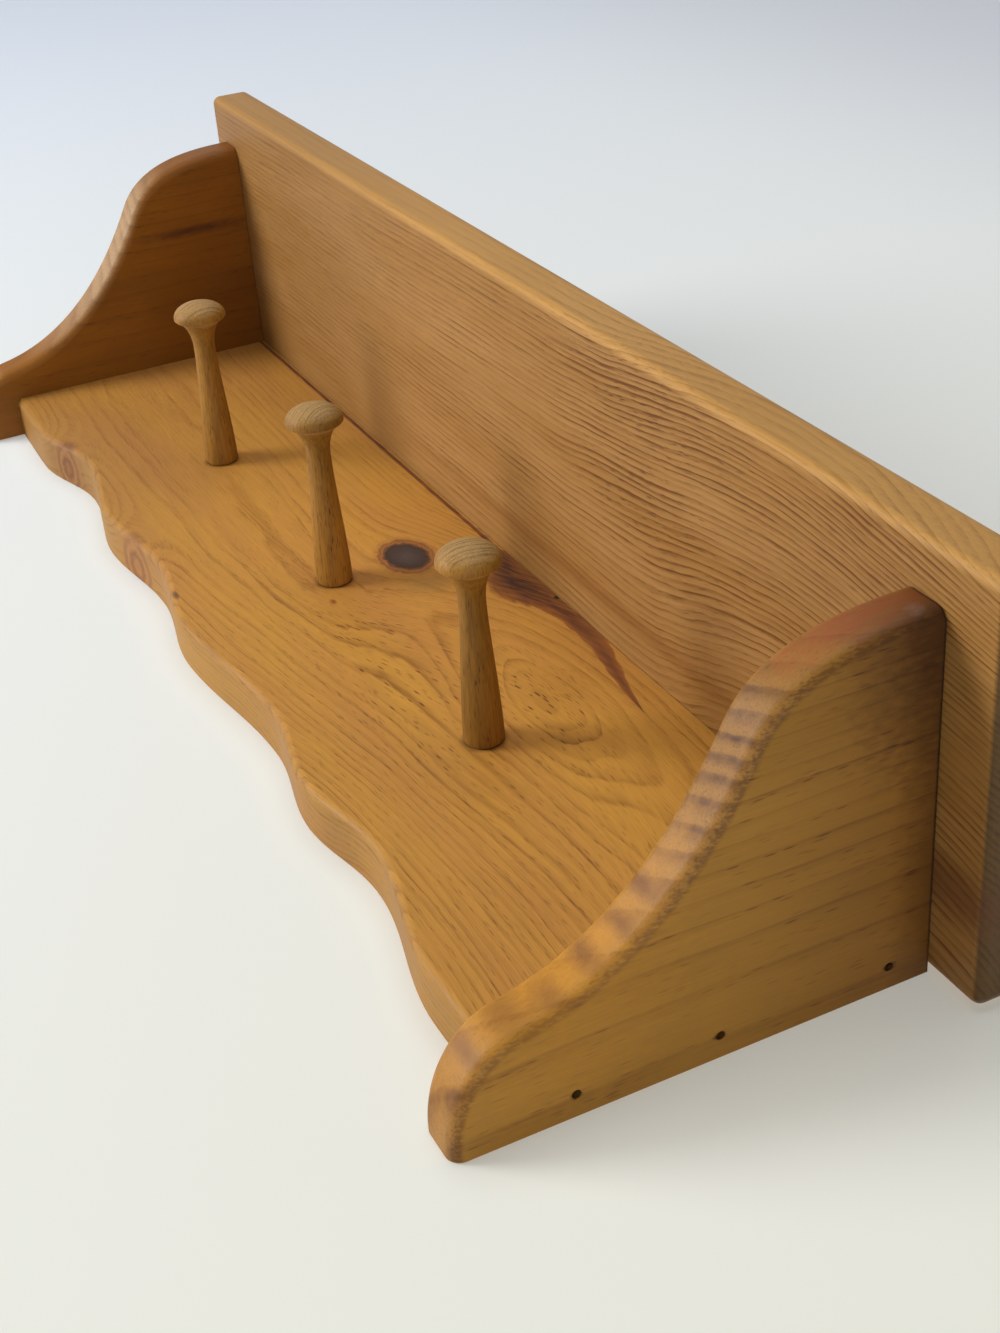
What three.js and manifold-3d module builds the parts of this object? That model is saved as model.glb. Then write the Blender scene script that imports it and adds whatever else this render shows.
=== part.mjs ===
// Pine wall shelf with a row of three turned pegs under the shelf board. All sizes are in millimetres.
// +X runs along the shelf, +Y into the wall and +Z up. The origin lies on the wall plane, halfway along
// the back board, level with the two screws that the shelf hangs on.
import * as THREE from "three";
import { mergeVertices } from "three/addons/utils/BufferGeometryUtils.js";
import Module from "manifold-3d";

const wasm = await Module();
wasm.setup();

// Clearance left at every glued or nailed joint
const jointGap = 0.3;

// Shelf board, the deep board on top, nailed on a little to the right
const shelfUnderside = 38; // above the hanging screws
const shelfThickness = 19;
const shelfDepth = 140;
const shelfOverhangLeft = 12.2; // past the outer face of the left bracket
const shelfOverhangRight = 22.7;
const shelfRearInset = 1.2; // its rear edge stops short of the wall
const shelfRound = 3.5; // arrises all round
const shelfCornerRadius = 4; // corners, seen from above

// Back board, between the brackets
const backLength = 546;
const backThickness = 19;
const backRound = 3; // front arris of the wavy edge

// Its wavy lower edge is sawn by hand: crest and hollow turn about at these places along the board,
// at these depths below the shelf board
const waveTurnPlaces = [-290, -228, -175.5, -117, -59.5, -6, 75.5, 124.5, 170.5, 238, 290];
const waveTurnDepths = [131.8, 132.7, 122.8, 131.3, 125.8, 133, 125.6, 132.5, 126.2, 136.7, 135.9];

// End brackets, an S-curve from the shelf board down to the wall
const bracketThickness = 19;
const bracketDepth = 123.2;
const bracketHeight = 156.4;
const bracketRound = 4.5; // both arrises of the curved edge
const shoulderDrop = 1; // straight stretch under the shelf board
const waistOut = 99.5; // where the curve changes from bulging to hollow
const waistDown = 60.4;
const waistLean = 62.5; // degrees from straight down
const shinOut = 36.3; // where it changes back, above the toe
const shinDown = 132.4;
const shinLean = 10.6; // degrees from straight down
const toeFlat = 1; // level stretch of the toe at the wall
const leftBracketTrim = 2.8; // more is sawn off the left bracket, all along its curve

// Pegs, turned in one piece with their tenons; heights are measured out from the back board's face
const pegPitch = 138;
const pegRowShift = -4; // the row sits a little left of the middle
const pegDrop = 68.5; // axis below the shelf board
const pegBaseRadius = 7.25;
const pegNeckRadius = 4.7;
const pegNeckBelow = 14.6; // slimmest place, below the cap's widest circle
const pegNeckRun = 6.6; // how far the neck stays slim before it opens into the cap
const pegThroatRadius = 6.8;
const pegThroatBelow = 4.7;
const pegFlareRadius = 8.4; // where the neck meets the underside of the cap
const pegFlareBelow = 2.7;
const pegCapRadius = 11.3;
const pegCapHeight = 69.6; // widest circle of the cap
const pegCapRise = 6.2; // dome above it
const pegRimThickness = 1.4;
const tenonRadius = 6.35;
const tenonLength = 14.5;
const pegEase = 0.8; // eased edges of tenon and base
const pegFullShare = 0.3; // share of the shank that keeps the fullness of its base
const pegSlimShare = 0.25; // share that is about as slim as the neck

// Keyhole slots in the rear of the back board
const keyholeSpacing = 406;
const keyholeTravel = 14; // from the entry hole up to the seat
const keyholeEntryRadius = 5.2;
const keyholeGrooveRadius = 5;
const keyholeSlotRadius = 2.4;
const keyholeDepth = 10;
const keyholeLip = 3.5; // wood left in front of the screw head

// Brads driven through each bracket into the ends of the back board
const bradDrops = [14.5, 72, 118]; // below the shelf board
const bradInset = 8; // from the wall
const bradLength = 36;
const bradRadius = 0.8;
const bradHeadRadius = 1.2;
const bradSink = 2.5; // head below the surface

// Nails driven down through the shelf board
const nailLength = 45;
const nailRadius = 1.1;
const nailHeadRadius = 1.5;
const nailSink = 2;
const nailPitch = 180; // along the back board
const nailRearInset = 30; // from the wall, into a bracket
const nailFrontInset = 34; // from the front of a bracket

// Heads and points that nails and brads share
const nailHeadHeight = 1.2;
const nailPoint = 3;
const nailTipRadius = 0.3;

// How finely round shapes are divided
const roundSteps = 5;
const curveSteps = 12;
const pegSteps = 5;
const turnedSides = 24;
const nailSides = 8;
const waveStep = 8.8;

// Places worked out from the sizes above
const boardsTop = shelfUnderside - jointGap;
const backHalf = backLength / 2;
const bracketInner = backHalf + jointGap;
const bracketOuter = bracketInner + bracketThickness;
const bracketMiddle = (bracketInner + bracketOuter) / 2;
const shelfLeft = -bracketOuter - shelfOverhangLeft;
const shelfRight = bracketOuter + shelfOverhangRight;
const shelfTop = shelfUnderside + shelfThickness;
const pegHeight = shelfUnderside - pegDrop;
const spare = 20; // how far stock and cutters run past a finished face

const backPine = new THREE.MeshStandardMaterial({ color: "#bd8740", roughness: 0.5, metalness: 0 });
const shelfPine = new THREE.MeshStandardMaterial({ color: "#b5834a", roughness: 0.5, metalness: 0 });
const bracketPine = new THREE.MeshStandardMaterial({ color: "#a9783a", roughness: 0.5, metalness: 0 });
const birch = new THREE.MeshStandardMaterial({ color: "#b0905c", roughness: 0.45, metalness: 0 });
const steel = new THREE.MeshStandardMaterial({ color: "#3b3632", roughness: 0.6, metalness: 0.8 });

function toSolid(geometry) {
  const bare = geometry.clone();
  bare.deleteAttribute("normal");
  bare.deleteAttribute("uv");
  const merged = mergeVertices(bare, 1e-4);
  return new wasm.Manifold(
    new wasm.Mesh({
      numProp: 3,
      vertProperties: merged.attributes.position.array,
      triVerts: new Uint32Array(merged.index.array),
    }),
  );
}

function toGeometry(solid) {
  const mesh = solid.getMesh();
  const geometry = new THREE.BufferGeometry();
  geometry.setAttribute("position", new THREE.BufferAttribute(mesh.vertProperties, 3));
  geometry.setIndex(new THREE.BufferAttribute(mesh.triVerts, 1));
  geometry.computeVertexNormals();
  return geometry;
}

// A block between two corners
function block(low, high) {
  const size = high.map((value, i) => value - low[i]);
  const middle = high.map((value, i) => (value + low[i]) / 2);
  return toSolid(new THREE.BoxGeometry(...size).translate(...middle));
}

// A board cut to an outline, its arrises rounded over on both faces; thickness runs along +Z
function roundedBoard(outline, thickness, round) {
  return new THREE.ExtrudeGeometry(outline, {
    depth: thickness - 2 * round,
    bevelEnabled: true,
    bevelSize: round,
    bevelOffset: -round,
    bevelThickness: round,
    bevelSegments: roundSteps,
    curveSegments: curveSteps,
  }).translate(0, 0, round);
}

// Turned work: the outline gives radius and height, and the axis becomes +Z
function turned(outline, sides) {
  return new THREE.LatheGeometry(outline, sides).rotateX(Math.PI / 2);
}

// A nail with the top of its head at the origin, pointing down -Z. With a margin it is the hole
// that the nail sits in, which runs on above the head by the given amount.
function nail(radius, headRadius, length, margin = 0, above = 0) {
  const outline = [
    new THREE.Vector2(0, -length - margin),
    new THREE.Vector2(nailTipRadius + margin, -length - margin),
    new THREE.Vector2(radius + margin, -length + nailPoint - margin),
    new THREE.Vector2(radius + margin, -nailHeadHeight - margin),
    new THREE.Vector2(headRadius + margin, -nailHeadHeight - margin),
    new THREE.Vector2(headRadius + margin, above),
    new THREE.Vector2(0, above),
  ];
  return turned(outline, nailSides);
}

// The hole of a shelf nail, open above the shelf board
function shelfNailHole([x, y]) {
  const hole = nail(nailRadius, nailHeadRadius, nailLength, jointGap, nailSink + spare);
  return toSolid(hole.translate(x, y, shelfTop - nailSink));
}

function makeShelfBoard(nailHoles) {
  const outline = new THREE.Shape();
  const left = shelfLeft + shelfCornerRadius;
  const right = shelfRight - shelfCornerRadius;
  const front = shelfCornerRadius - shelfDepth;
  const rear = -shelfRearInset - shelfCornerRadius;
  const corners = [[left, front], [right, front], [right, rear], [left, rear]];
  corners.forEach(([x, y], i) => {
    const turn = Math.PI * (1 + i / 2);
    outline.absarc(x, y, shelfCornerRadius, turn, turn + Math.PI / 2);
  });
  outline.closePath();
  const stock = roundedBoard(outline, shelfThickness, shelfRound).translate(0, 0, shelfUnderside);
  return nailHoles.reduce((rest, hole) => rest.subtract(hole), toSolid(stock));
}

// Height of the wavy edge at a place along the back board: an even swing from each turn to the next
function waveHeight(x) {
  const last = waveTurnPlaces.length - 1;
  const found = waveTurnPlaces.findIndex((place) => place > x);
  const next = found < 0 ? last : Math.max(found, 1);
  const from = waveTurnPlaces[next - 1];
  const share = THREE.MathUtils.clamp((x - from) / (waveTurnPlaces[next] - from), 0, 1);
  const swung = (1 - Math.cos(Math.PI * share)) / 2;
  return shelfUnderside - THREE.MathUtils.lerp(waveTurnDepths[next - 1], waveTurnDepths[next], swung);
}

// A cutter with round ends for the rear face, as long as the screw travels
function rearSlot(x, radius, shallow, deep) {
  const outline = new THREE.Shape();
  outline.absarc(x, 0, radius, 0, Math.PI);
  outline.absarc(x, -keyholeTravel, radius, Math.PI, 2 * Math.PI);
  outline.closePath();
  const cutter = new THREE.ExtrudeGeometry(outline, {
    depth: deep - shallow,
    bevelEnabled: false,
    curveSegments: curveSteps,
  });
  return toSolid(cutter.rotateX(Math.PI / 2).translate(0, -shallow, 0));
}

// Round hole bored into the back board from its front or rear face, along Y
function boredHole(x, z, radius, from, to) {
  const hole = new THREE.CylinderGeometry(radius, radius, Math.abs(to - from), turnedSides);
  return toSolid(hole.translate(x, (from + to) / 2, z));
}

// Entry hole, narrow slot and the wider groove behind its lip
function keyhole(x) {
  const entry = boredHole(x, -keyholeTravel, keyholeEntryRadius, spare, -keyholeDepth);
  const slot = rearSlot(x, keyholeSlotRadius, -spare, keyholeDepth);
  const groove = rearSlot(x, keyholeGrooveRadius, keyholeLip, keyholeDepth);
  return entry.add(slot).add(groove);
}

function makeBackBoard(pegPlaces, nailHoles) {
  const start = -backHalf - spare;
  const length = backLength + 2 * spare;
  const steps = Math.ceil(length / waveStep);
  const outline = new THREE.Shape();
  outline.moveTo(start + length, boardsTop + spare);
  outline.lineTo(start, boardsTop + spare);
  for (let i = 0; i <= steps; i++) {
    const x = start + (length * i) / steps;
    outline.lineTo(x, waveHeight(x));
  }
  outline.closePath();
  const stock = roundedBoard(outline, backThickness + spare, backRound).rotateX(Math.PI / 2);
  const low = [-backHalf, -backThickness - spare, shelfUnderside - bracketHeight - spare];
  const high = [backHalf, 0, boardsTop];
  const board = toSolid(stock.translate(0, spare, 0)).intersect(block(low, high));
  const socketFloor = tenonLength + jointGap - backThickness;
  const sockets = pegPlaces.map((x) =>
    boredHole(x, pegHeight, tenonRadius + jointGap, -backThickness - spare, socketFloor),
  );
  const keyholes = [-1, 1].map((side) => keyhole((side * keyholeSpacing) / 2));
  return [...sockets, ...keyholes, ...nailHoles].reduce((rest, hole) => rest.subtract(hole), board);
}

// Adds a curve from one place to the next that leaves and arrives at the given leans from straight down,
// with handles as long as those of the arc that turns by as much
function swing(outline, from, to) {
  const chord = Math.hypot(to.out - from.out, to.down - from.down);
  const turn = THREE.MathUtils.degToRad(to.lean - from.lean);
  const handle = chord / (3 * Math.cos(turn / 4) ** 2);
  const along = (place, sign) => {
    const lean = THREE.MathUtils.degToRad(place.lean);
    const y = -place.out + sign * handle * Math.sin(lean);
    return [y, shelfUnderside - place.down - sign * handle * Math.cos(lean)];
  };
  outline.bezierCurveTo(...along(from, 1), ...along(to, -1), -to.out, shelfUnderside - to.down);
}

// End bracket, drawn in Y and Z, then turned so that its thickness runs along +X from the given face;
// the trim moves its curve inwards
function makeBracket(lowFace, trim, nailHoles) {
  const [shoulder, waist, shin, toe] = [
    { out: bracketDepth, down: shoulderDrop, lean: 0 },
    { out: waistOut, down: waistDown, lean: waistLean },
    { out: shinOut, down: shinDown, lean: shinLean },
    { out: toeFlat, down: bracketHeight, lean: 90 },
  ].map(({ out, down, lean }) => {
    const angle = THREE.MathUtils.degToRad(lean);
    return { out: out - trim * Math.cos(angle), down: down - trim * Math.sin(angle), lean };
  });
  const foot = shelfUnderside - toe.down;
  const outline = new THREE.Shape();
  outline.moveTo(-shoulder.out, shelfUnderside + spare);
  outline.lineTo(-shoulder.out, shelfUnderside - shoulder.down);
  swing(outline, shoulder, waist);
  swing(outline, waist, shin);
  swing(outline, shin, toe);
  outline.lineTo(spare, foot);
  outline.lineTo(spare, shelfUnderside + spare);
  outline.closePath();
  const stock = roundedBoard(outline, bracketThickness, bracketRound);
  stock.rotateX(Math.PI / 2).rotateZ(Math.PI / 2).translate(lowFace, 0, 0);
  const low = [lowFace - spare, -shoulder.out - spare, foot - spare];
  const high = [lowFace + bracketThickness + spare, 0, boardsTop];
  const bracket = toSolid(stock).intersect(block(low, high));
  return nailHoles.reduce((rest, hole) => rest.subtract(hole), bracket);
}

// A peg's outline from the end of its tenon to the top of its cap, as radius and height
function pegOutline() {
  const foot = jointGap + pegEase;
  const neck = pegCapHeight - pegNeckBelow;
  const full = THREE.MathUtils.lerp(foot, neck, pegFullShare);
  const slim = THREE.MathUtils.lerp(neck, foot, pegSlimShare);
  const open = neck + pegNeckRun;
  const throat = pegCapHeight - pegThroatBelow;
  const flare = pegCapHeight - pegFlareBelow;
  const capUnder = pegCapHeight - pegRimThickness;
  const outline = new THREE.Path();
  outline.moveTo(0, -tenonLength);
  outline.lineTo(tenonRadius - pegEase, -tenonLength);
  outline.lineTo(tenonRadius, pegEase - tenonLength);
  outline.lineTo(tenonRadius, jointGap);
  outline.lineTo(pegBaseRadius - pegEase / 2, jointGap);
  outline.lineTo(pegBaseRadius, foot);
  outline.bezierCurveTo(pegBaseRadius, full, pegNeckRadius, slim, pegNeckRadius, neck);
  outline.bezierCurveTo(pegNeckRadius, open, pegThroatRadius, throat, pegFlareRadius, flare);
  outline.lineTo(pegCapRadius - pegRimThickness / 2, capUnder);
  outline.lineTo(pegCapRadius, capUnder + pegRimThickness / 2);
  outline.absellipse(0, pegCapHeight, pegCapRadius, pegCapRise, 0, Math.PI / 2);
  const points = outline.getPoints(pegSteps);
  points[points.length - 1].x = 0; // closes on the axis
  return points;
}

const pegPlaces = [-1, 0, 1].map((i) => pegRowShift + i * pegPitch);
const backNailPlaces = [-1, 0, 1].map((i) => [i * nailPitch, -backThickness / 2]);
const backNailHoles = backNailPlaces.map(shelfNailHole);

const wallShelf = new THREE.Group();

function addPiece(name, geometry, material) {
  const mesh = new THREE.Mesh(geometry, material);
  mesh.name = name;
  wallShelf.add(mesh);
  return mesh;
}

function addShelfNail(name, [x, y]) {
  const shaft = addPiece(name, nail(nailRadius, nailHeadRadius, nailLength), steel);
  shaft.position.set(x, y, shelfTop - nailSink);
}

const bradHoles = [];
const bracketNailHoles = [];
for (const [side, sign, trim] of [["left", -1, leftBracketTrim], ["right", 1, 0]]) {
  const nailPlaces = [
    [sign * bracketMiddle, -nailRearInset],
    [sign * bracketMiddle, nailFrontInset - bracketDepth],
  ];
  const ownNailHoles = nailPlaces.map(shelfNailHole);

  // A brad points inwards from the bracket's outer face
  const lay = (geometry, drop) => {
    const head = [sign * (bracketOuter - bradSink), -bradInset, shelfUnderside - drop];
    return geometry.rotateY((sign * Math.PI) / 2).translate(...head);
  };
  const ownBradHoles = bradDrops.map((drop) =>
    toSolid(lay(nail(bradRadius, bradHeadRadius, bradLength, jointGap, bradSink + spare), drop)),
  );
  bradHoles.push(...ownBradHoles);
  bracketNailHoles.push(...ownNailHoles);

  const lowFace = sign > 0 ? bracketInner : -bracketOuter;
  const bracket = makeBracket(lowFace, trim, [...ownNailHoles, ...ownBradHoles]);
  addPiece(`end_bracket_${side}`, toGeometry(bracket), bracketPine);
  ["top", "middle", "bottom"].forEach((level, i) => {
    addPiece(`brad_${side}_${level}`, lay(nail(bradRadius, bradHeadRadius, bradLength), bradDrops[i]), steel);
  });
  ["rear", "front"].forEach((row, i) => addShelfNail(`nail_${side}_${row}`, nailPlaces[i]));
}

const shelfBoard = makeShelfBoard([...bracketNailHoles, ...backNailHoles]);
addPiece("shelf_board", toGeometry(shelfBoard), shelfPine);
const backBoard = makeBackBoard(pegPlaces, [...backNailHoles, ...bradHoles]);
addPiece("back_board", toGeometry(backBoard), backPine);

["left", "middle", "right"].forEach((place, i) => {
  const peg = addPiece(`peg_${place}`, turned(pegOutline(), turnedSides), birch);
  peg.rotation.x = Math.PI / 2;
  peg.position.set(pegPlaces[i], -backThickness, pegHeight);
  addShelfNail(`nail_back_${place}`, backNailPlaces[i]);
});

export default wallShelf;
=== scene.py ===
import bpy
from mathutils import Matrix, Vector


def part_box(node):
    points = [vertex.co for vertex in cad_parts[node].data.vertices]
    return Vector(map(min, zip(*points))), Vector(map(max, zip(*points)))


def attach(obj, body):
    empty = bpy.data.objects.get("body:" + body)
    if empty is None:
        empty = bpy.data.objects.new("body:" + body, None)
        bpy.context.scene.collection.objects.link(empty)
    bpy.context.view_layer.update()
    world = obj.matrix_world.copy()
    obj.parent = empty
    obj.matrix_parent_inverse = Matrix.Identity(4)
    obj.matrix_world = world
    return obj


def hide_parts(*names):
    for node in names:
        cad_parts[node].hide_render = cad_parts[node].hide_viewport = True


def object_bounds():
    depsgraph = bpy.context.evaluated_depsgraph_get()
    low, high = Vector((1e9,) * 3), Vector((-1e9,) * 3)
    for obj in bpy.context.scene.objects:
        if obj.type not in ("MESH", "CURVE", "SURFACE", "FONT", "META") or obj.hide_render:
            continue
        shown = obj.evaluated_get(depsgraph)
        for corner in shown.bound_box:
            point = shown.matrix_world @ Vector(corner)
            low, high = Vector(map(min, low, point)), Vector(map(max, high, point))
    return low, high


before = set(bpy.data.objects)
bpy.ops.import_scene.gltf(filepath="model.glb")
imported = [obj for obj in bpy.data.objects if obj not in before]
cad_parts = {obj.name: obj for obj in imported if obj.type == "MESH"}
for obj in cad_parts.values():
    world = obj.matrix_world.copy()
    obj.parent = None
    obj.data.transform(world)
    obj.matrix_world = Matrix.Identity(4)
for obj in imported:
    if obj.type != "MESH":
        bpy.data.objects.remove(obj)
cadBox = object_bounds()
print("frame loaded,", len(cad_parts), "pieces")

from functools import partial
from math import cos, hypot, pi, radians, sin

import bmesh
import bpy
from mathutils import Matrix, Vector
from mathutils.geometry import interpolate_bezier

mm = 0.001
sides = {"left": -1, "right": 1}
pegPlaces = ("left", "middle", "right")
spare = 20 * mm  # how far stock and cutters run past a finished face
hair = 0.01 * mm  # closer than this, two places count as one
weld = 0.001 * mm  # corners of one mesh nearer than this become one
wallward, upward = Vector((0, 1, 0)), Vector((0, 0, 1))


# Camera, past the right end of the shelf and above it, as it lies on its back
camera = {
    "place": (0.6423, -0.37681, -0.24665),
    "right": (0.4411, 0.07123, 0.89463),
    "down": (0.43359, 0.85587, -0.28192),
    "lens": 51.55,
    "sensor": 36,
}


def makeCamera():
    data = bpy.data.cameras.new("camera")
    data.lens = camera["lens"]
    data.sensor_width = camera["sensor"]
    right = Vector(camera["right"]).normalized()
    up = -Vector(camera["down"]).normalized()
    backwards = right.cross(up).normalized()
    turn = Matrix((right, backwards.cross(right), backwards)).transposed()
    made = bpy.data.objects.new("camera", data)
    made.matrix_world = Matrix.Translation(camera["place"]) @ turn.to_4x4()
    bpy.context.scene.collection.objects.link(made)
    bpy.context.scene.camera = made


# An sRGB hex colour as the linear one that shaders take
def colourOf(hexColour):
    shares = [int(hexColour[i:i + 2], 16) / 255 for i in (1, 3, 5)]
    return (*[s / 12.92 if s <= 0.04045 else ((s + 0.055) / 1.055) ** 2.4 for s in shares], 1)


# Adds a shader node. Inputs take a value, a hex colour, a socket or a node; stops fill a colour
# ramp and points a curve.
def addNode(material, kind, inputs=None, stops=(), points=(), **settings):
    node = material.node_tree.nodes.new("ShaderNode" + kind)
    for name, value in settings.items():
        setattr(node, name, value)
    for name, value in (inputs or {}).items():
        shown = [s for s in node.inputs if s.enabled]
        socket = shown[name] if isinstance(name, int) else next(s for s in shown if s.name == name)
        if isinstance(value, bpy.types.Node):
            value = next(s for s in value.outputs if s.enabled)
        if isinstance(value, bpy.types.NodeSocket):
            material.node_tree.links.new(value, socket)
        else:
            socket.default_value = colourOf(value) if isinstance(value, str) else value
    for i, (place, colour) in enumerate(stops):
        ramp = node.color_ramp.elements
        stop = ramp[i] if i < len(ramp) and i < 2 else ramp.new(place)
        stop.position = place
        stop.color = colourOf(colour) if isinstance(colour, str) else (colour,) * 3 + (1,)
    for i, place in enumerate(points):
        line = node.mapping.curves[0].points
        point = line[i] if i < 2 else line.new(*place)
        point.location = place
    if points:
        node.mapping.update()
    return node


def newMaterial(name):
    material = bpy.data.materials.new(name)
    material.use_nodes = True
    shader = next(n for n in material.node_tree.nodes if n.type == "BSDF_PRINCIPLED")
    return material, shader


def connect(material, shader, values):
    for socket, node in values.items():
        output = next(o for o in node.outputs if o.enabled)
        material.node_tree.links.new(output, shader.inputs[socket])


# Planed and sanded wood under an old varnish. Growth rings are cylinders round the pith, swaying
# with the tree and parted by knots, and each face shows them as it cuts them. The eye sees darker
# lines on amber, short dashes along them and a weak, satin shine. Lengths are in millimetres of the
# real board, along the grain first and then across it. A range says between which two levels of a
# pattern its effect comes in.
wood = {
    "turn": (0, 0, 0),
    "grainAxis": "X",
    "pith": (0, 60, -60),  # added to a place, brings the pith to the X axis
    "rings": 45,
    "ringsWithin": 100,
    "ringPower": 1,  # above one, years get narrower away from the pith
    "yearly": 0.7,  # how much the years' widths differ
    "widthChange": 0.37,
    "palest": 0.35,
    "toneChange": 0.83,
    "yearRange": (0.4, 0.6),
    "sways": [(180, 45, 1.5), (60, 12, 0.45), (14, 3, 0.12)],
    "rises": [],
    "riseAcross": (0, 0, 1),
    "swells": [],
    "fade": ("X", -400, -399, 0.4),
    "line": [(0, 0.08), (0.35, 0.15), (0.7, 0.55), (0.88, 1), (0.96, 0.4), (1, 0.08)],
    "lateDepth": 1.5,
    "tones": (120, 26),
    "toneRange": (0.35, 0.65),
    "patches": (90, 20, 0.5),  # the third is what is left where a pattern is faint
    "patchRange": (0.38, 0.62),
    "streaks": (22, 1.2, 0.45),
    "streakRange": (0.38, 0.6),
    "dashes": (10, 1.3, 0.36, 0.85),  # the third is the share of cells left empty
    "dashRange": (0.13, 0.3),
    "dashLines": (0.1, 0.5, 0.4),
    "dashColour": "#5c3410",
    "bolder": [],
    "endFrom": 0.12,
    "endTo": 0.5,
    "endLine": [(0, 0.15), (0.25, 0.1), (0.5, 0.5), (0.75, 1), (0.9, 0.8), (1, 0.15)],
    "blotches": (9, 7, 0.4),
    "blotchRange": (0.35, 0.6),
    "pores": (0.9, 0.7, 0.35),
    "poreRange": (0.52, 0.68),
    "sawnEdge": None,
    "sawnRange": (-0.2, -0.8),
    "crackle": None,
    "crackleSize": (3, 0.8),
    "crackleRange": (0.58, 0.78),
    "crackleOn": (0.4, 0.9),  # how squarely a face looks out sideways, from none to all of it
    "crackleOff": (0.998, 0.93),
    "crackleDenser": 0.25,
    "knots": [],
    "knotRagged": (3, 2.5, 0.4),
    "knotRim": (1.3, 1.75),
    "spikes": [],
    "spikeRagged": (9, 2.5, 0.7),
    "spikeRim": (1.2, 1.5),
    "spikeStreaks": (14, 1.3, 2.4),
    "spikeHeart": (1.5, 2.7),
    "marks": [],
    "markCloud": (5, 2.5),
    "usualMark": {"ragged": 0.8, "solid": 0.8, "soft": 1.5},
    "shades": [],
    "fibre": (22, 0.5, 0.07),
    "fibreRange": (0.3, 0.7),
    "rough": (0.46, 0.6),
    "shine": 0.22,
    "relief": 0.06,
}
cloudSwing = 4  # noise stays within about a quarter of its middle, and this brings that to one


# A cloud pattern stretched along the grain
def cloud(add, source, length, width, detail=2):
    size = (1 / length, 1 / width, 1 / width)
    stretched = add("Mapping", {"Vector": source, "Scale": size})
    return add("TexNoise", {"Vector": stretched, "Scale": 1, "Detail": detail})


# How far a point lies from a middle, where the given size is one
def farFrom(add, spot, middle, size):
    offset = add("VectorMath", {0: spot, 1: middle}, operation="SUBTRACT")
    scale = tuple(1 / s for s in size)
    shaped = add("VectorMath", {0: offset, 1: scale}, operation="MULTIPLY")
    return offset, add("VectorMath", {0: shaped}, operation="LENGTH")


# One in the middle, falling softly to nothing
def nearness(add, far, reach=1):
    share = add("Math", {0: far, 1: reach}, operation="DIVIDE")
    squared = add("Math", {0: share, 1: 2}, operation="POWER")
    opposite = add("Math", {0: squared, 1: -1}, operation="MULTIPLY")
    return add("Math", {0: opposite}, operation="EXPONENT")


# A measure that changes along the board, from points of place and measure
def measureAlong(add, found, points, reach):
    start, end = points[0][0], points[-1][0]
    share = add("MapRange", {"Value": found["places"].outputs["X"], "From Min": start,
                             "From Max": end})
    shares = [((x - start) / (end - start), measure / reach) for x, measure in points]
    curve = add("FloatCurve", {"Value": share}, points=shares)
    return add("Math", {0: curve, 1: reach}, operation="MULTIPLY")


# How the grain runs: places in the log, moved by its sways, its rise along the board and its knots
def grainCourse(add, own, found):
    course = found["log"]
    for length, width, amount in own["sways"]:
        pattern = cloud(add, found["log"], length, width)
        drift = add("VectorMath", {0: pattern.outputs["Color"], 1: (0.5, 0.5, 0.5)},
                    operation="SUBTRACT")
        swing = cloudSwing * amount
        course = add("VectorMath", {0: drift, 1: (0, swing, swing), 2: course},
                     operation="MULTIPLY_ADD")

    rise = None  # each level blends in between two places across the board
    for level in own["rises"]:
        curved = measureAlong(add, found, level["points"], level["reach"])
        if rise:
            axis, low, high = level["between"]
            height = add("MapRange", {"Value": found["places"].outputs[axis], "From Min": low,
                                      "From Max": high})
            curved = add("Mix", {"Factor": height, "A": rise, "B": curved})
        rise = curved
    if rise:
        down = tuple(-part for part in own["riseAcross"])
        course = add("VectorMath", {0: rise, 1: down, 2: course}, operation="MULTIPLY_ADD")

    found["knotsFar"] = []
    for knot in own["knots"]:
        offset, far = farFrom(add, found["spot"], knot["at"], knot["size"])
        push = add("VectorMath", {0: offset, "Scale": nearness(add, far, knot["parting"])},
                   operation="SCALE")
        course = add("VectorMath", {0: push, 1: (0, -knot["push"], -knot["push"]), 2: course},
                     operation="MULTIPLY_ADD")
        found["knotsFar"].append(far)
    found["course"] = course


# Growth rings, some years wider or darker than others
def growthRings(add, own, found):
    across = add("VectorMath", {0: found["course"], 1: (0, 1, 1)}, operation="MULTIPLY")
    radius = add("VectorMath", {0: across}, operation="LENGTH")
    for swell in own["swells"]:
        close = nearness(add, farFrom(add, found["spot"], swell["at"], swell["size"])[1])
        radius = add("Math", {0: close, 1: swell["rise"], 2: radius}, operation="MULTIPLY_ADD")
    share = add("Math", {0: radius, 1: own["ringsWithin"]}, operation="DIVIDE")
    powered = add("Math", {0: share, 1: own["ringPower"]}, operation="POWER")
    years = add("Math", {0: powered, 1: own["rings"]}, operation="MULTIPLY")
    slow = add("Math", {0: years, 1: own["widthChange"]}, operation="MULTIPLY")
    growth = add("TexNoise", {"W": slow, "Scale": 1, "Detail": 1}, noise_dimensions="1D")
    years = add("Math", {0: growth, 1: 2 * own["yearly"], 2: years}, operation="MULTIPLY_ADD")
    found["band"] = add("Math", {0: years}, operation="FRACT")
    found["line"] = add("ValToRGB", {0: found["band"]}, stops=own["line"])
    chance = add("TexNoise", {"W": years, "Scale": own["toneChange"], "Detail": 2},
                 noise_dimensions="1D")
    start, end = own["yearRange"]
    found["year"] = add("MapRange", {"Value": chance, "From Min": start, "From Max": end,
                                     "To Min": own["palest"], "To Max": 1})


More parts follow.
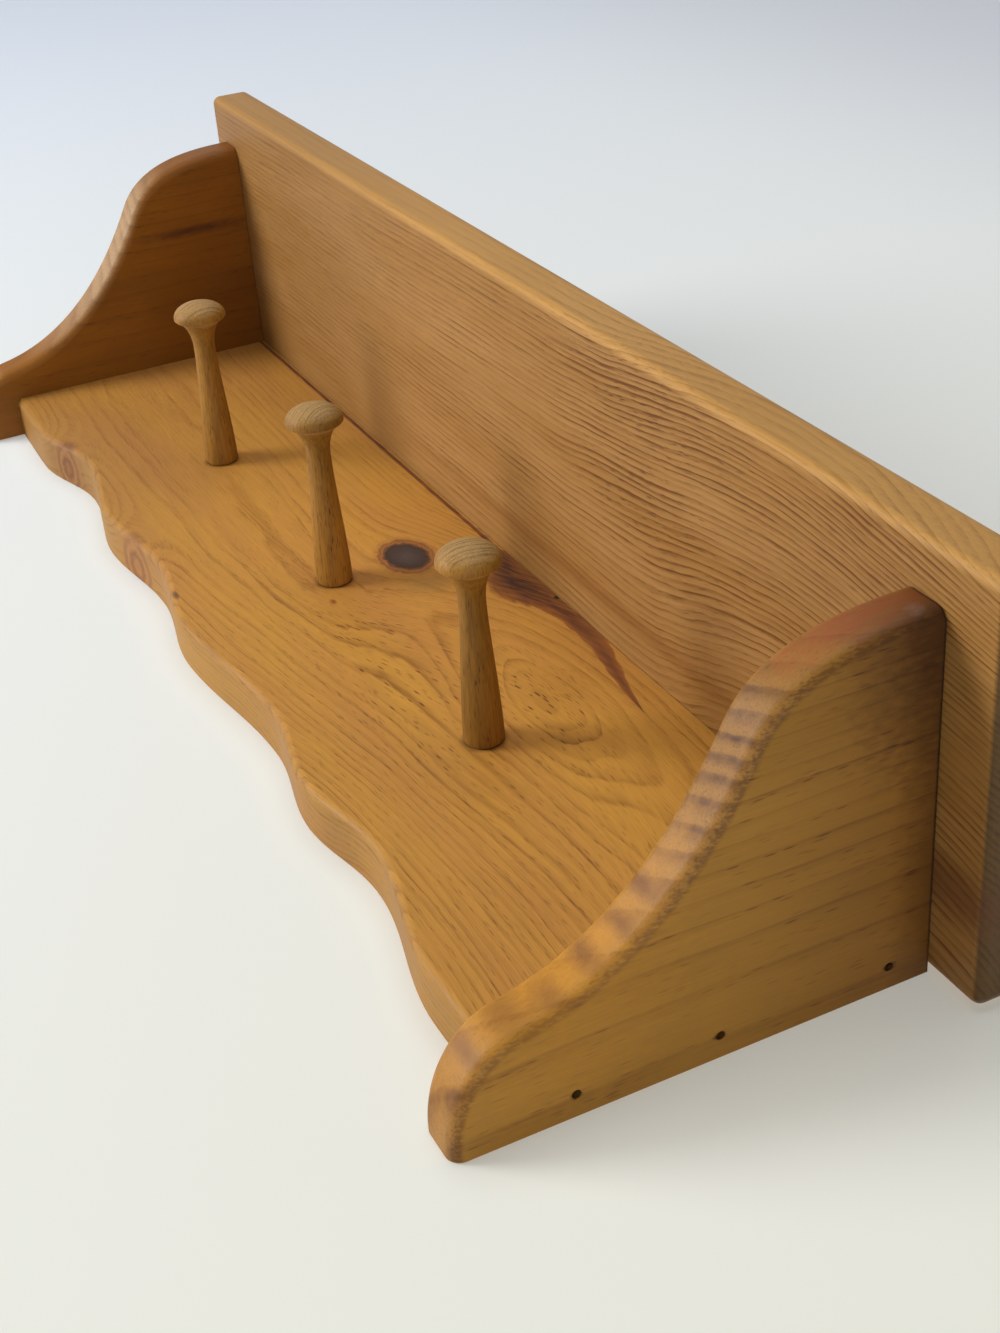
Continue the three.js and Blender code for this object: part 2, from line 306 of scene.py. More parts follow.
# How strongly latewood lines and dashes show from place to place
def lineStrengths(add, own, found):
    length, width, faint = own["patches"]
    start, end = own["patchRange"]
    patch = add("MapRange", {"Value": cloud(add, found["log"], length, width), "From Min": start,
                             "From Max": end, "To Min": faint, "To Max": 1})
    axis, start, end, faint = own["fade"]
    fade = add("MapRange", {"Value": found["places"].outputs[axis], "From Min": start,
                            "From Max": end, "To Min": faint, "To Max": 1},
               interpolation_type="SMOOTHSTEP")
    ofLines = ofDashes = add("Math", {0: patch, 1: fade}, operation="MULTIPLY")
    for bold in own["bolder"]:
        close = nearness(add, farFrom(add, found["spot"], bold["at"], bold["size"])[1])
        ofLines = add("Math", {0: close, 1: bold["lines"], 2: ofLines}, operation="MULTIPLY_ADD")
        ofDashes = add("Math", {0: close, 1: bold["dashes"], 2: ofDashes},
                       operation="MULTIPLY_ADD")
    return ofLines, ofDashes


# Latewood lines, broken up along the grain, and the short dark dashes of resin canals in them
def latewood(add, own, found):
    ofLines, ofDashes = lineStrengths(add, own, found)
    length, width, faint = own["streaks"]
    start, end = own["streakRange"]
    streak = add("MapRange", {"Value": cloud(add, found["course"], length, width),
                              "From Min": start, "From Max": end, "To Min": faint, "To Max": 1})
    late = found["line"]
    for share in (streak, found["year"], ofLines):
        late = add("Math", {0: late, 1: share}, operation="MULTIPLY")
    found["late"] = add("Math", {0: late, 1: own["lateDepth"]}, operation="MULTIPLY",
                        use_clamp=True)

    length, width, empty, depth = own["dashes"]
    cells = add("Mapping", {"Vector": found["course"], "Scale": (1 / length, 1 / width, 1 / width)})
    cell = add("TexVoronoi", {"Vector": cells, "Scale": 1, "Randomness": 1})
    chosen = add("Math", {0: cell.outputs["Color"], 1: empty}, operation="GREATER_THAN")
    start, end = own["dashRange"]
    dash = add("MapRange", {"Value": cell.outputs["Distance"], "From Min": start, "From Max": end,
                            "To Min": depth, "To Max": 0})
    start, end, faint = own["dashLines"]
    inLine = add("MapRange", {"Value": found["line"], "From Min": start, "From Max": end,
                              "To Min": faint})
    for share in (chosen, inLine, ofDashes):
        dash = add("Math", {0: dash, 1: share}, operation="MULTIPLY", use_clamp=True)
    found["dash"] = dash


# The colour of planed faces, with latewood and dashes drawn in it
def longGrain(add, own, found):
    start, end = own["toneRange"]
    tone = add("MapRange", {"Value": cloud(add, found["log"], *own["tones"], 3),
                            "From Min": start, "From Max": end})
    colour = add("Mix", {"Factor": tone, "A": own["early"], "B": own["earlyToo"]},
                 data_type="RGBA")
    for share, darker in ((found["late"], own["late"]), (found["dash"], own["dashColour"])):
        colour = add("Mix", {"Factor": share, "A": colour, "B": darker}, data_type="RGBA")
    return colour


# Sawn across, the wood is rougher and drinks more of the finish
def endGrain(add, own, found, colour):
    outwards = add("Math", {0: found["facing"].outputs[own["grainAxis"]]}, operation="ABSOLUTE")
    sawn = add("MapRange", {"Value": outwards, "From Min": own["endFrom"],
                            "From Max": own["endTo"]})
    rings = add("ValToRGB", {0: found["band"]}, stops=own["endLine"])
    length, width, faint = own["blotches"]
    start, end = own["blotchRange"]
    blotch = add("MapRange", {"Value": cloud(add, found["log"], length, width, 3),
                              "From Min": start, "From Max": end, "To Min": faint})
    for share in (blotch, found["year"]):
        rings = add("Math", {0: rings, 1: share}, operation="MULTIPLY")
    ends = add("Mix", {"Factor": rings, "A": own["endEarly"], "B": own["endLate"]},
               data_type="RGBA")
    length, width, depth = own["pores"]
    start, end = own["poreRange"]
    pores = add("MapRange", {"Value": cloud(add, found["log"], length, width, 3),
                             "From Min": start, "From Max": end, "To Min": 0, "To Max": depth})
    ends = add("Mix", {"Factor": pores, "A": ends, "B": own["dashColour"]}, data_type="RGBA")
    return add("Mix", {"Factor": sawn, "A": colour, "B": ends}, data_type="RGBA")


# A lower edge left as the saw cut it, duller and greyer, and also darkened as painted shade where
# it faces down, and finish crackled along the arris of one side
def wornEdges(add, own, found, colour):
    if own["sawnEdge"]:
        start, end = own["sawnRange"]
        down = add("MapRange", {"Value": found["facing"].outputs["Z"], "From Min": start,
                                "From Max": end})
        colour = add("Mix", {"Factor": down, "A": colour, "B": own["sawnEdge"]},
                     data_type="RGBA", blend_type="MULTIPLY")
    if own["crackle"]:
        sign, depth = own["crackle"]
        outwards = add("Math", {0: found["facing"].outputs["X"], 1: sign}, operation="MULTIPLY")
        start, end = own["crackleOn"]
        onto = add("MapRange", {"Value": outwards, "From Min": start, "From Max": end})
        start, end = own["crackleOff"]
        off = add("MapRange", {"Value": outwards, "From Min": start, "From Max": end})
        pattern = cloud(add, found["log"], *own["crackleSize"], 4)
        specks = add("Math", {0: onto, 1: own["crackleDenser"], 2: pattern},
                     operation="MULTIPLY_ADD")
        start, end = own["crackleRange"]
        specks = add("MapRange", {"Value": specks, "From Min": start, "From Max": end,
                                  "To Min": 0, "To Max": depth})
        specks = add("Math", {0: specks, 1: off}, operation="MULTIPLY")
        colour = add("Mix", {"Factor": specks, "A": colour, "B": own["dashColour"]},
                     data_type="RGBA")
    return colour


# Round knots, with rings of their own and a ragged rim
def roundKnots(add, own, found, colour):
    length, width, amount = own["knotRagged"]
    start, end = own["knotRim"]
    for knot, far in zip(own["knots"], found["knotsFar"]):
        pattern = cloud(add, found["log"], length, width, 4)
        ragged = add("Math", {0: pattern, 1: amount, 2: far}, operation="MULTIPLY_ADD")
        shown = add("MapRange", {"Value": ragged, "From Min": start, "From Max": end, "To Min": 1,
                                 "To Max": 0}, interpolation_type="SMOOTHSTEP")
        half = add("Math", {0: ragged, 1: 0.5}, operation="MULTIPLY")
        inside = add("ValToRGB", {0: half}, stops=knot["stops"])
        colour = add("Mix", {"Factor": shown, "A": colour, "B": inside}, data_type="RGBA")
    return colour


# Spike knots, branches sawn along their length, with points of place, middle and half width
def spikeKnots(add, own, found, colour):
    for spike in own["spikes"]:
        reach, places = spike["reach"], found["places"].outputs
        middle = measureAlong(add, found, [(x, mid) for x, mid, _ in spike["points"]], reach)
        half = measureAlong(add, found, [(x, wide) for x, _, wide in spike["points"]], reach)
        below = add("Math", {0: spike["top"], 1: places["Z"]}, operation="SUBTRACT")
        off = add("Math", {0: below, 1: middle}, operation="SUBTRACT")
        off = add("Math", {0: off}, operation="ABSOLUTE")
        far = add("Math", {0: off, 1: half}, operation="DIVIDE")
        length, width, amount = own["spikeRagged"]
        pattern = cloud(add, found["log"], length, width, 3)
        far = add("Math", {0: pattern, 1: amount, 2: far}, operation="MULTIPLY_ADD")
        start, end = own["spikeRim"]
        shown = add("MapRange", {"Value": far, "From Min": start, "From Max": end, "To Min": 1,
                                 "To Max": 0}, interpolation_type="SMOOTHSTEP")
        along = add("MapRange", {"Value": places["X"], "From Min": spike["points"][0][0],
                                 "From Max": spike["points"][-1][0]})
        deep = add("ValToRGB", {0: along}, stops=spike["stops"])
        length, width, amount = own["spikeStreaks"]
        pattern = cloud(add, found["course"], length, width, 4)
        streaked = add("Math", {0: pattern, 1: amount, 2: far}, operation="MULTIPLY_ADD")
        start, end = own["spikeHeart"]
        inside = add("MapRange", {"Value": streaked, "From Min": start, "From Max": end})
        inside = add("Mix", {"Factor": inside, "A": deep, "B": spike["rim"]}, data_type="RGBA")
        colour = add("Mix", {"Factor": shown, "A": colour, "B": inside}, data_type="RGBA")
    return colour


# Marks at given places, stains and dirt and also painted shade and painted light, then what is
# darker towards one end, some of it painted shade
def marksAndShades(add, own, found, colour):
    for given in own["marks"]:
        mark = {**own["usualMark"], **given}
        far = farFrom(add, found["spot"], mark["at"], mark["size"])[1]
        pattern = cloud(add, found["log"], *own["markCloud"], 3)
        far = add("Math", {0: pattern, 1: mark["ragged"], 2: far}, operation="MULTIPLY_ADD")
        shown = add("MapRange", {"Value": far, "From Min": mark["solid"], "From Max": mark["soft"],
                                 "To Min": mark["depth"], "To Max": 0})
        colour = add("Mix", {"Factor": shown, "A": colour, "B": mark["colour"]}, data_type="RGBA")
    for axis, start, end, depth, shadeColour in own["shades"]:
        shown = add("MapRange", {"Value": found["places"].outputs[axis], "From Min": start,
                                 "From Max": end, "To Min": 0, "To Max": depth},
                    interpolation_type="SMOOTHSTEP")
        colour = add("Mix", {"Factor": shown, "A": colour, "B": shadeColour}, data_type="RGBA",
                     blend_type="MULTIPLY")
    return colour


def makeWood(name, own):
    material, shader = newMaterial(name)
    add = partial(addNode, material)
    place = add("TexCoord")
    spot = add("Mapping", {"Vector": place.outputs["Object"], "Scale": (1 / mm, 1 / mm, 1 / mm)})
    found = {  # what the steps work from and pass on
        "spot": spot,
        "places": add("SeparateXYZ", {0: spot}),
        "facing": add("SeparateXYZ", {0: place.outputs["Normal"]}),
        "log": add("Mapping", {"Vector": spot, "Rotation": own["turn"], "Location": own["pith"]}),
    }
    grainCourse(add, own, found)
    growthRings(add, own, found)
    latewood(add, own, found)
    colour = longGrain(add, own, found)
    for step in (endGrain, wornEdges, roundKnots, spikeKnots, marksAndShades):
        colour = step(add, own, found, colour)

    length, width, depth = own["fibre"]
    fibre = cloud(add, found["course"], length, width, 3)
    start, end = own["fibreRange"]
    lightness = add("MapRange", {"Value": fibre, "From Min": start, "From Max": end,
                                 "To Min": 1 - depth, "To Max": 1 + depth})
    colour = add("Mix", {"Factor": 1, "A": colour, "B": lightness}, data_type="RGBA",
                 blend_type="MULTIPLY")
    smoothest, roughest = own["rough"]
    rough = add("MapRange", {"Value": fibre, "From Min": start, "From Max": end,
                             "To Min": smoothest, "To Max": roughest})
    sunk = add("Math", {0: found["late"], 1: found["dash"]}, operation="ADD")
    height = add("Math", {0: fibre, 1: sunk}, operation="SUBTRACT")
    bump = add("Bump", {"Height": height, "Distance": own["relief"] * mm, "Strength": 1})
    connect(material, shader, {"Base Color": colour, "Roughness": rough, "Normal": bump})
    shader.inputs["Specular IOR Level"].default_value = own["shine"]
    return material


def box(bm, low, high):
    made = bmesh.ops.create_cube(bm, size=1)["verts"]
    bmesh.ops.scale(bm, vec=Vector(high) - Vector(low), verts=made)
    bmesh.ops.translate(bm, vec=(Vector(high) + Vector(low)) / 2, verts=made)


def bevel(bm, edges, width, steps):
    bmesh.ops.bevel(
        bm, geom=edges, offset=width, offset_type="OFFSET", segments=steps, profile=0.5,
        affect="EDGES", material=-1, clamp_overlap=False,
    )


# Saws off what lies beyond a plane and closes the cut
def sawFlush(bm, place, outwards):
    everything = bm.verts[:] + bm.edges[:] + bm.faces[:]
    cut = bmesh.ops.bisect_plane(
        bm, geom=everything, dist=weld / 10, plane_co=place, plane_no=outwards, clear_outer=True,
    )
    rim = [e for e in cut["geom_cut"] if isinstance(e, bmesh.types.BMEdge)]
    bmesh.ops.contextual_create(bm, geom=rim)


# Edges of which every end passes the test
def edgesWhere(bm, test):
    return [e for e in bm.edges if all(test(v.co) for v in e.verts)]


# A thin ring of edges between points, filled and drawn out to a solid
def drawnOut(bm, outline, direction):
    corners = [bm.verts.new(p) for p in outline]
    rim = [bm.edges.new(pair) for pair in zip(corners, corners[1:] + corners[:1])]
    face = bmesh.ops.contextual_create(bm, geom=corners + rim)["faces"]
    drawn = bmesh.ops.extrude_face_region(bm, geom=face)["geom"]
    moved = [v for v in drawn if isinstance(v, bmesh.types.BMVert)]
    bmesh.ops.translate(bm, vec=direction, verts=moved)
    bmesh.ops.recalc_face_normals(bm, faces=bm.faces)


# Turned work: the outline gives radius and height along the axis
def turned(bm, outline, base, axis, steps):
    side = axis.orthogonal().normalized()
    spine = [bm.verts.new(base + side * radius + axis * height) for radius, height in outline]
    line = [bm.edges.new(pair) for pair in zip(spine, spine[1:])]
    bmesh.ops.spin(
        bm, geom=spine + line, cent=base, axis=axis, angle=2 * pi, steps=steps, use_merge=True,
    )
    bmesh.ops.remove_doubles(bm, verts=bm.verts, dist=weld)
    bmesh.ops.recalc_face_normals(bm, faces=bm.faces)


# The object of a finished bmesh, with holes cut in it by cutters, each a bmesh
def finishPiece(bm, name, material, cutters=()):
    mesh = bpy.data.meshes.new(name)
    bm.to_mesh(mesh)
    bm.free()
    piece = bpy.data.objects.new(name, mesh)
    bpy.context.scene.collection.objects.link(piece)
    drills = []
    for cutter in cutters:
        drill = finishPiece(cutter, name + "_cutter", None)
        drills.append(drill)
        cut = piece.modifiers.new("hole", "BOOLEAN")
        cut.operation = "DIFFERENCE"
        cut.solver = "EXACT"
        cut.object = drill
    if drills:
        seen = piece.evaluated_get(bpy.context.evaluated_depsgraph_get())
        piece.data = bpy.data.meshes.new_from_object(seen)
        piece.modifiers.clear()
        for drill in drills:
            bpy.data.objects.remove(drill)
    if material:
        piece.data.materials.clear()
        piece.data.materials.append(material)
    return piece


# Smooth shading that keeps edges crisp which turn by more degrees, and flat faces flat
def shadeSmooth(piece, crease=35):
    piece.data.shade_smooth()
    piece.data.set_sharp_from_angle(angle=radians(crease))
    smoother = piece.modifiers.new("smoother", "WEIGHTED_NORMAL")
    smoother.keep_sharp = True


def standFor(piece, node):
    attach(piece, "root")
    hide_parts(node)


# Points of a curve that leaves and arrives at the given leans from straight down, with handles as
# long as those of the arc that turns by as much. Places are out from the wall and up.
def swing(start, end, steps):
    chord = hypot(end["out"] - start["out"], end["up"] - start["up"])
    handle = chord / (3 * cos(radians(end["lean"] - start["lean"]) / 4) ** 2)
    knots = []
    for place, sign in ((start, 1), (end, -1)):
        lean = radians(place["lean"])
        knot = Vector((0, -place["out"], place["up"]))
        knots.append((knot, knot + sign * handle * Vector((0, sin(lean), -cos(lean)))))
    return interpolate_bezier(knots[0][0], knots[0][1], knots[1][1], knots[1][0], steps)


# Brads and nails, wire nails with a small head that is set below the surface
nail = {
    "headHeight": 1.2 * mm,
    "pointLength": 3 * mm,
    "tipRadius": 0.3 * mm,
    "clearance": 0.3 * mm,
    "rustSize": 0.8 * mm,
    "rustRange": (0.42, 0.62),
    # both colours near black: partly dull steel and rust, partly painted shade in the sunk holes
    "bare": {"colour": "#2b2623", "rough": 0.4, "metallic": 0.7},
    "rusty": {"colour": "#21140d", "rough": 0.8, "metallic": 0},
    "sides": 20,
    "kinds": {
        "brad": {"radius": 0.8 * mm, "headRadius": 1.2 * mm, "length": 36 * mm, "sunk": 2.5 * mm},
        "nail": {"radius": 1.1 * mm, "headRadius": 1.5 * mm, "length": 45 * mm, "sunk": 2 * mm},
    },
}


def kindOf(node):
    return nail["kinds"][node.split("_")[0]]


# A nail's outline from its point to its head, or its hole's with a margin
def nailOutline(kind, margin=0, above=0):
    radius = kind["radius"] + margin
    headRadius = kind["headRadius"] + margin
    under = -nail["headHeight"] - margin
    return [
        (0, -kind["length"] - margin),
        (nail["tipRadius"] + margin, -kind["length"] - margin),
        (radius, nail["pointLength"] - kind["length"] - margin),
        (radius, under),
        (headRadius, under),
        (headRadius, above),
        (0, above),
    ]


# Steel, drawn to wire and gone dull with a little brown rust, and made nearly black as painted
# shade for its sunk hole, so each hole holds a dark dot
def makeSteel():
    material, shader = newMaterial("steel_wire_rusted")
    add = partial(addNode, material)
    place = add("TexCoord")
    rust = add("TexNoise", {"Vector": place.outputs["Object"], "Scale": 1 / nail["rustSize"],
                            "Detail": 3})
    start, end = nail["rustRange"]
    share = add("MapRange", {"Value": rust, "From Min": start, "From Max": end})
    bare, rusty = nail["bare"], nail["rusty"]
    colour = add("Mix", {"Factor": share, "A": bare["colour"], "B": rusty["colour"]},
                 data_type="RGBA")
    rough = add("MapRange", {"Value": share, "To Min": bare["rough"], "To Max": rusty["rough"]})
    metal = add("MapRange", {"Value": share, "To Min": bare["metallic"],
                             "To Max": rusty["metallic"]})
    connect(material, shader, {"Base Color": colour, "Roughness": rough, "Metallic": metal})
    return material


# Where a nail's head lies and which way it points out, from its box in the frame
def nailSeat(node):
    low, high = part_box(node)
    middle = (low + high) / 2
    if node.startswith("nail"):
        return Vector((middle.x, middle.y, high.z)), upward
    outwards = Vector((1 if middle.x > 0 else -1, 0, 0))
    middle.x = high.x if middle.x > 0 else low.x
    return middle, outwards


def nailHoles(names):
    holes = []
    for name in names:
        kind = kindOf(name)
        seat, outwards = nailSeat(name)
        bm = bmesh.new()
        outline = nailOutline(kind, nail["clearance"], kind["sunk"] + spare)
        turned(bm, outline, seat, outwards, nail["sides"])
        holes.append(bm)
    return holes


def nailsOf(*starts):
    return sorted(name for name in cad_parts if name.startswith(starts))


def makeNails():
    material = makeSteel()
    for name in nailsOf("brad", "nail"):
        seat, outwards = nailSeat(name)
        bm = bmesh.new()
        turned(bm, nailOutline(kindOf(name)), seat, outwards, nail["sides"])
        piece = finishPiece(bm, name + "_wire", material)
        shadeSmooth(piece)
        standFor(piece, name)


# Shelf board of planed pine, its corners and arrises rounded over all round. The varnish has gone
# brown, and the eye sees fine lines that swing and crowd together over the right half.
shelf = {
    "wood": {
        "pith": (0, -60, 60),
        "rings": 47,
        "yearly": 0.3,
        "palest": 0.6,
        "rises": [
            {"reach": 40, "points": [
                (-320, 2), (60, 2), (90, 3), (120, 7), (145, 11), (170, 15), (195, 17), (225, 17),
                (260, 13), (290, 8), (320, 1),
            ]},
            {"reach": 40, "between": ("Y", -135, -90), "points": [
                (-320, 2), (60, 2), (90, 5), (120, 8), (145, 11), (170, 15), (195, 18), (225, 20),
                (260, 18), (290, 15), (320, 11),
            ]},
            {"reach": 40, "between": ("Y", -90, -45), "points": [
                (-320, 2), (60, 2), (90, 1), (120, 1), (145, 5), (170, 13), (195, 20), (225, 24),
                (260, 22), (290, 18), (320, 12),
            ]},
        ],
        "riseAcross": (0, -1, 0),
        "marks": [
            # shade along the joint with the back board
            {"at": (84, -36, 38), "size": (110, 3, 8), "depth": 0.5, "soft": 2.2,
             "colour": "#7b4a18"},
            {"at": (300, -36, 38), "size": (26, 9, 10), "depth": 0.6, "soft": 2,
             "colour": "#5d3520"},
            # the front edge and its arris, painted paler and yellower: painted light, as if it
            # caught more light
            {"at": (100, -140, 47), "size": (500, 3, 16), "depth": 0.35, "soft": 1.6,
             "ragged": 0.2, "colour": "#d8a24e"},
        ],
        "shades": [("X", 0, -200, 0.8, "#dedbd8")],
        "fade": ("X", -140, 110, 0.5),
        "dashes": (9, 0.8, 0.15, 0.65),
        "bolder": [
            {"at": (135, -128, 38), "size": (60, 14, 40), "lines": 1.1, "dashes": 1.6},
            {"at": (130, -90, 38), "size": (40, 14, 40), "lines": 0.8, "dashes": 1.2},
            {"at": (270, -130, 38), "size": (50, 16, 40), "lines": 0.7, "dashes": 0.8},
        ],
        "fibre": (22, 0.5, 0.1),
        "lateDepth": 1.4,
        "early": "#a1743a",
        "earlyToo": "#ab7f48",
        "late": "#6c4115",
        "endEarly": "#604829",
        "endLate": "#4a3319",
    },
    "cornerRadius": 4 * mm,
    "round": 3.5 * mm,
    "cornerSteps": 8,
    "roundSteps": 8,
}


def makeShelf():
    low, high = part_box("shelf_board")
    bm = bmesh.new()
    box(bm, low, high)
    upright = [e for e in bm.edges if abs(e.verts[0].co.z - e.verts[1].co.z) > hair]
    bevel(bm, upright, shelf["cornerRadius"], shelf["cornerSteps"])
    top = edgesWhere(bm, lambda p: p.z > high.z - hair)
    bottom = edgesWhere(bm, lambda p: p.z < low.z + hair)
    bevel(bm, top + bottom, shelf["round"], shelf["roundSteps"])
    material = makeWood("shelf_pine_varnished", {**wood, **shelf["wood"]})
    piece = finishPiece(bm, "shelf_plank", material, nailHoles(nailsOf("nail")))
    shadeSmooth(piece)
    standFor(piece, "shelf_board")


# Back board of pine under amber varnish, with a dark knot and a spike knot, its lower edge sawn by
# hand in waves. The eye sees grain that flows round the knots, with many dashes in it. The waves'
# crests and hollows come by turns, at places along the board and depths below the shelf board.
back = {
    "wood": {
        "pith": (0, -64, 38),
        "rings": 54,
        "yearly": 0.5,
        "palest": 0.45,
        "rises": [
            {"reach": 60, "points": [
                (-300, 0), (-60, 0), (-30, 2), (0, 5), (30, 8), (60, 12), (90, 18), (120, 25),
                (150, 30), (190, 31), (300, 27),
            ]},
            {"reach": 60, "between": ("Z", -95, -50), "points": [
                (-300, 0), (-60, 0), (-30, 2), (0, 6), (30, 12), (60, 17), (90, 20), (120, 22),
                (150, 24), (190, 28), (240, 32), (300, 31),
            ]},
            {"reach": 60, "between": ("Z", -50, 0), "points": [
                (-300, 0), (-60, 0), (-30, 4), (0, 12), (30, 24), (60, 38), (90, 45), (120, 48),
                (150, 50), (190, 49), (240, 41), (300, 28),
            ]},
        ],
        "swells": [{"at": (125, -19, -1), "size": (52, 60, 20), "rise": -10.3}],
        "knots": [
            {"at": (-6.1, -19, 2), "size": (13, 60, 9.2), "parting": 2.4, "push": 0.75, "stops": [
                (0, "#54453c"), (0.2, "#4a3c35"), (0.35, "#41332c"), (0.52, "#3a2a20"),
                (0.59, "#7a4a28"), (0.63, "#9b6630"), (0.68, "#7c4c26"), (0.75, "#a87034"),
                (0.82, "#8f5c2a"), (0.9, "#b27a38"),
            ]},
            {"at": (-200, -8, -90), "size": (9, 12, 7), "parting": 2.6, "push": 0.8, "stops": [
                (0, "#7a4c26"), (0.2, "#9b6630"), (0.3, "#80512a"), (0.45, "#ac773a"),
                (0.55, "#8a5a2c"), (0.75, "#b07a3a"),
            ]},
            {"at": (-86, -6, -90), "size": (12, 12, 6), "parting": 2.4, "push": 0.8, "stops": [
                (0, "#8a5a2c"), (0.2, "#a8733a"), (0.35, "#85552a"), (0.5, "#ac773a"),
                (0.6, "#8f5f30"), (0.8, "#b07a3a"),
            ]},
        ],
        "spikes": [{
            "top": 42,
            "reach": 20,
            "points": [
                (10, 6, 1), (20, 8, 5), (41, 13, 10), (63, 9, 6), (76, 8, 4.2), (94, 8, 4),
                (114, 11.5, 3), (133, 15.5, 1.5), (150, 18, 0.02),
            ],
            "stops": [(0, "#553320"), (0.2, "#3f251c"), (0.4, "#552f1c"), (0.6, "#6f4224")],
            "rim": "#955a28",
        }],
        "marks": [
            # a pit in the spike knot, two dents and two darker patches
            {"at": (58.8, -19, 37), "size": (2.2, 6, 1.4), "depth": 1, "soft": 1.3,
             "colour": "#1c1210"},
            {"at": (13, -19, -38), "size": (2.6, 6, 1.5), "depth": 0.8, "colour": "#7c4020"},
            {"at": (-28, -19, -90), "size": (4, 3, 1.4), "depth": 0.8, "colour": "#4c3826"},
            {"at": (20, -19, 0), "size": (8, 12, 9), "depth": 0.45, "soft": 2,
             "colour": "#8a6a3c"},
            {"at": (120, -19, 3), "size": (14, 10, 12), "depth": 0.2, "soft": 2,
             "colour": "#8a5a24"},
        ],
        "shades": [("X", -20, -200, 0.8, "#dcdaea")],
        "fade": ("X", -120, 30, 0.62),
        "dashes": (8.5, 0.8, 0.12, 0.6),
        "bolder": [
            {"at": (60, -19, -38), "size": (80, 60, 34), "lines": 0.1, "dashes": 1},
            {"at": (120, -19, 0), "size": (24, 60, 14), "lines": -0.3, "dashes": 1.6},
        ],
        # downward faces greyer: partly the duller sawn edge, partly painted shade
        "sawnEdge": "#e3e5ec",
        "fibre": (22, 0.5, 0.1),
        "lateDepth": 0.85,
        "dashColour": "#6b3d12",
        "early": "#c48e39",
        "earlyToo": "#bc843c",
        "late": "#7f4b18",
        "endEarly": "#94693a",
        "endLate": "#744c29",
    },
    # dark ring round each peg's foot: dirt in the joint and painted contact shade
    "footDirt": {
        "size": (8.6, 3, 8.6), "depth": 0.75, "soft": 1.15, "ragged": 0.2, "colour": "#42240e",
    },
    "turnPlaces": [-290, -228, -175.5, -117, -59.5, -6, 75.5, 124.5, 170.5, 238, 290],
    "turnDepths": [131.8, 132.7, 122.8, 131.3, 125.8, 133, 125.6, 132.5, 126.2, 136.7, 135.9],
    "round": 3 * mm,
    "roundSteps": 7,
    "sawStep": 4 * mm,
    "socketRadius": 6.65 * mm,
    "socketDepth": 14.8 * mm,
    "keyholeSpacing": 406 * mm,
    "keyholeTravel": 14 * mm,
    "keyholeDepth": 10 * mm,
    "keyholeLip": 3.5 * mm,
    "entryRadius": 5.2 * mm,
    "grooveRadius": 5 * mm,
    "slotRadius": 2.4 * mm,
    "holeSides": 48,
}


# Height of the wavy edge at a place along the board: an even swing from each turn to the next
def waveHeight(x):
    places, depths = back["turnPlaces"], back["turnDepths"]
    here = x / mm
    after = next((i for i, place in enumerate(places) if place > here), len(places) - 1)
    after = max(after, 1)
    share = (here - places[after - 1]) / (places[after] - places[after - 1])
    swung = (1 - cos(pi * min(max(share, 0), 1))) / 2
    depth = depths[after - 1] + swung * (depths[after] - depths[after - 1])
    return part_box("shelf_board")[0].z - depth * mm


# A round-ended cutter in the rear face, as long as the screw travels
def rearSlot(x, radius, shallow, deep):
    bm = bmesh.new()
    bmesh.ops.create_circle(bm, cap_ends=True, radius=radius, segments=back["holeSides"])
    bmesh.ops.rotate(bm, matrix=Matrix.Rotation(pi / 2, 3, "X"), verts=bm.verts)
    bmesh.ops.translate(bm, vec=(x, -shallow, 0), verts=bm.verts)
    lower = [v for v in bm.verts if v.co.z < -weld]
    bmesh.ops.translate(bm, vec=(0, 0, -back["keyholeTravel"]), verts=lower)
    drawn = bmesh.ops.extrude_face_region(bm, geom=bm.faces[:])["geom"]
    moved = [v for v in drawn if isinstance(v, bmesh.types.BMVert)]
    bmesh.ops.translate(bm, vec=(0, shallow - deep, 0), verts=moved)
    bmesh.ops.recalc_face_normals(bm, faces=bm.faces)
    return bm


# Round hole bored along Y
def boredHole(x, z, radius, start, end):
    bm = bmesh.new()
    bmesh.ops.create_cone(
        bm, cap_ends=True, segments=back["holeSides"], radius1=radius, radius2=radius,
        depth=abs(end - start),
    )
    bmesh.ops.rotate(bm, matrix=Matrix.Rotation(pi / 2, 3, "X"), verts=bm.verts)
    bmesh.ops.translate(bm, vec=(x, (start + end) / 2, z), verts=bm.verts)
    return bm


